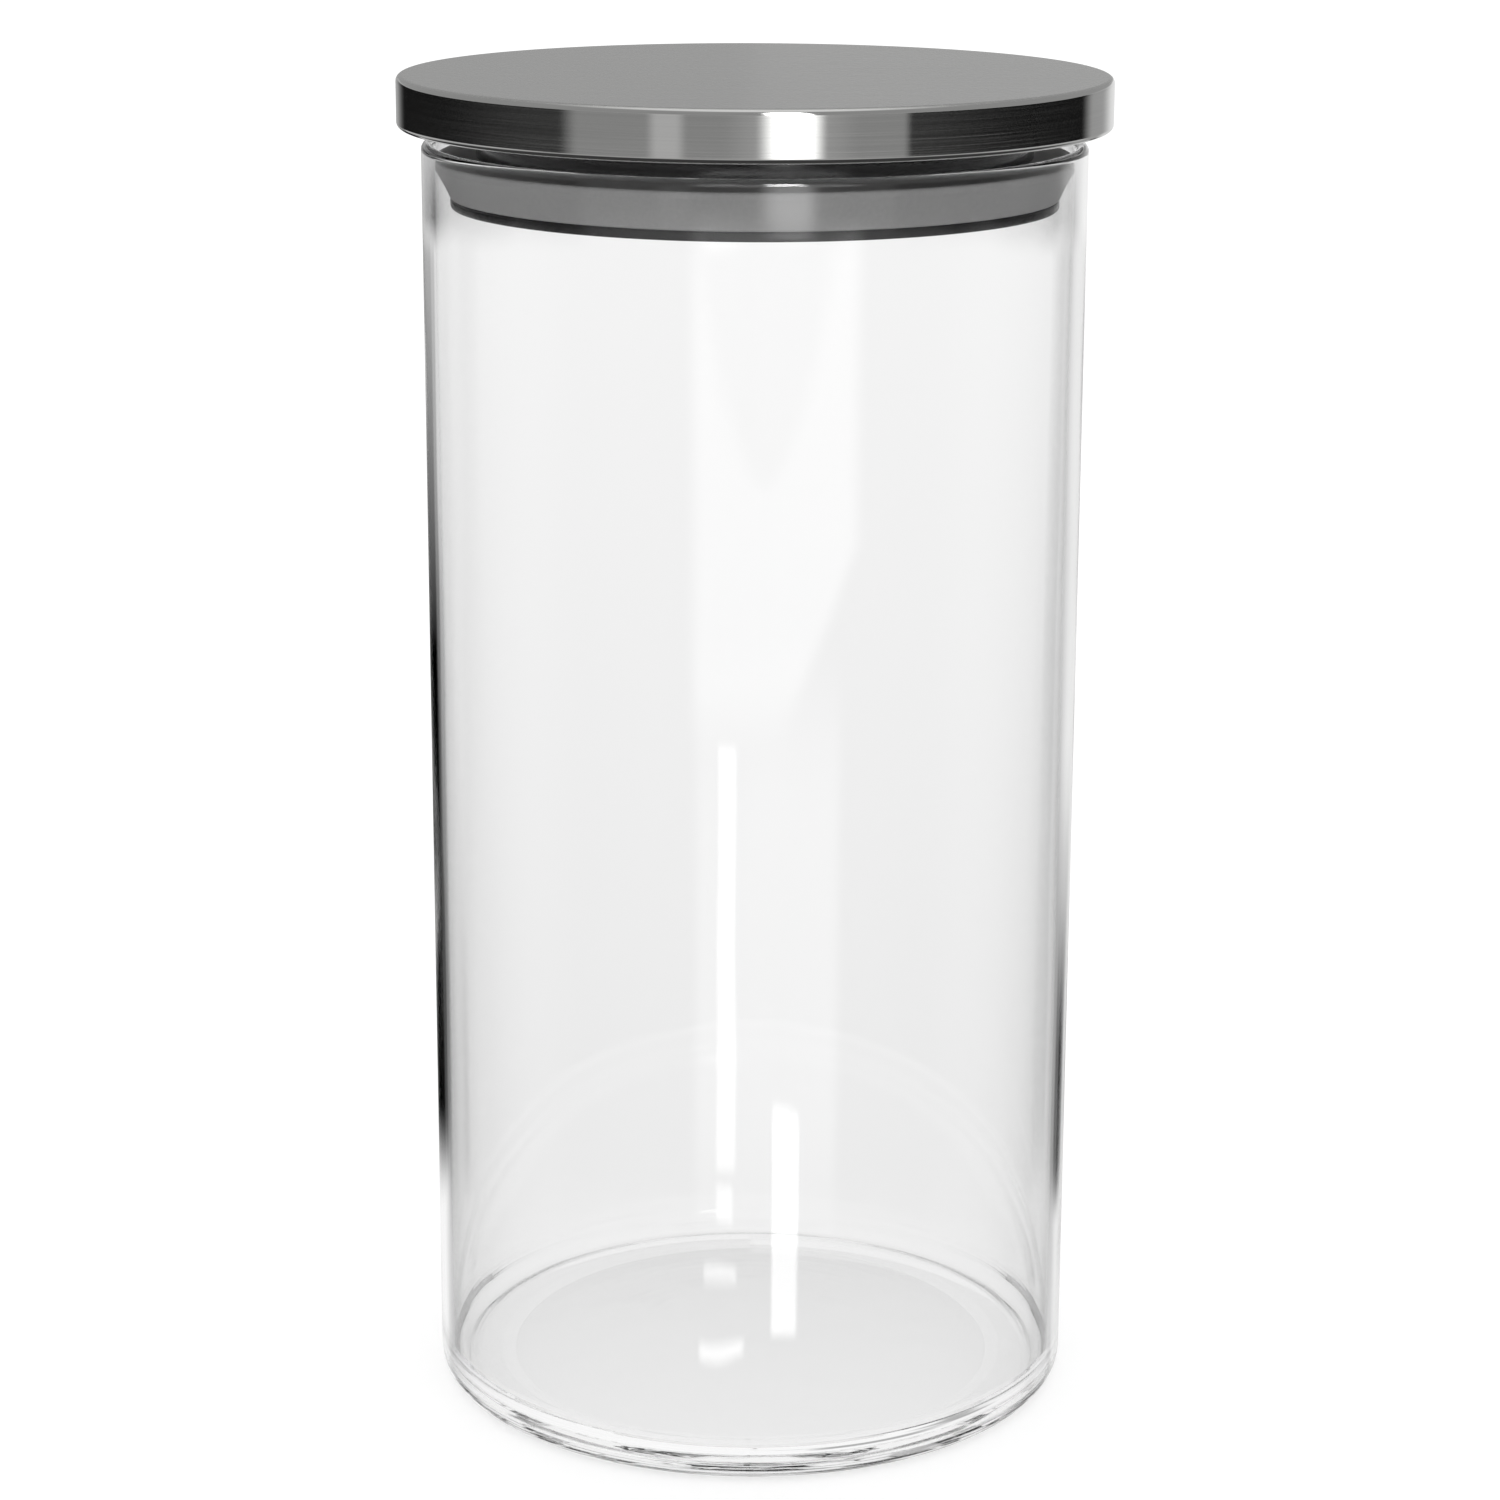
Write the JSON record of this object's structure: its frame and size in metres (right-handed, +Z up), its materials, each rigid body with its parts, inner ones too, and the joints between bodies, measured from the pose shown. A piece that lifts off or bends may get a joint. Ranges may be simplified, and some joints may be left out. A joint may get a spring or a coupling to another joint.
{
  "type": "lidded glass canister",
  "caption": "Straight-sided glass storage jar closed by a flat brushed steel lid, whose moulded plug carries a tapered silicone seal ring in the mouth.",
  "frame": {"origin": "centre of the foot, on the plane that the jar stands on", "axes": "+Z up along the jar's axis; X and Y are alike, because every piece is round"},
  "size_m": [0.1072, 0.1072, 0.206],
  "materials": {
    "jar_glass": "clear borosilicate glass, fire polished",
    "cap_steel": "stainless steel sheet, fine brushed",
    "plug_plastic": "black injection moulding, glossy",
    "seal_silicone": "grey silicone, satin"
  },
  "bodies": {
    "jar": {"glass_jar": "jar_glass"},
    "lid": {"lid_cap": "cap_steel", "lid_plug": "plug_plastic", "seal_ring": "seal_silicone"}
  },
  "joints": [
    {"name": "lid_lift", "type": "slide", "parent": "jar", "child": "lid", "axis": [0, 0, 1], "range_m": [0, 0.1]}
  ]
}
